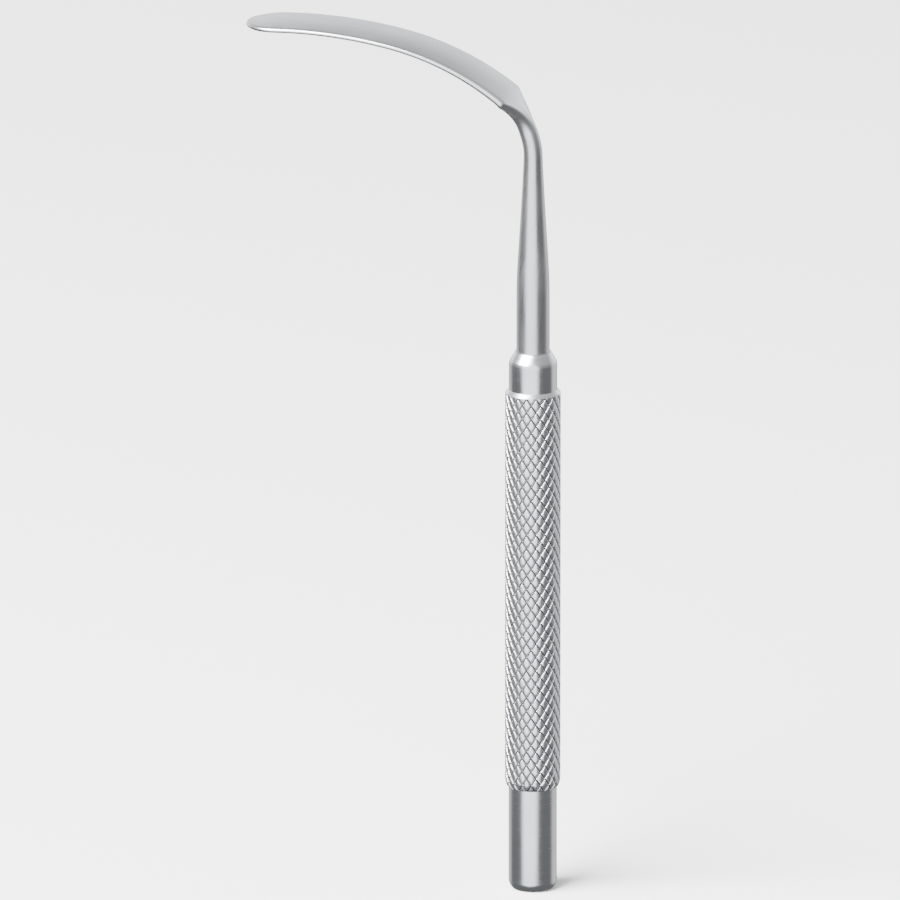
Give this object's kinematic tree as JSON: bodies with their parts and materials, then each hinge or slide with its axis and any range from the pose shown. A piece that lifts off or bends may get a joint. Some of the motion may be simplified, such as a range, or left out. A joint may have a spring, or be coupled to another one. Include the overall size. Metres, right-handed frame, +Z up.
{
  "type": "zygoma elevator",
  "caption": "One-handed hook elevator: thin curved blade on a tapered shank, smooth collar, hollow diamond-knurled grip and smooth round end.",
  "frame": {"origin": "centre of the flat end face of the handle's smooth end", "axes": "+Z up the handle's own axis, from the smooth end to the neck; the hook bends towards -X in the XZ plane; the blade is wide along Y"},
  "size_m": [0.073, 0.0156, 0.2008],
  "materials": {
    "blade_steel": "satin, brushed along the blade and shank",
    "polished_steel": "fine turned and satin polished",
    "knurled_steel": "rolled diamond knurl, satin crests",
    "plain_steel": "as machined",
    "seal_rubber": "moulded silicone rubber"
  },
  "bodies": {
    "root": {"blade_and_shank": "blade_steel", "ferrule": "polished_steel", "ferrule_pin": "plain_steel", "tang_washer": "plain_steel", "tang_nut": "plain_steel", "grip_sleeve": "knurled_steel", "end_plug": "polished_steel", "front_seal": "seal_rubber", "rear_seal": "seal_rubber"}
  },
  "joints": []
}
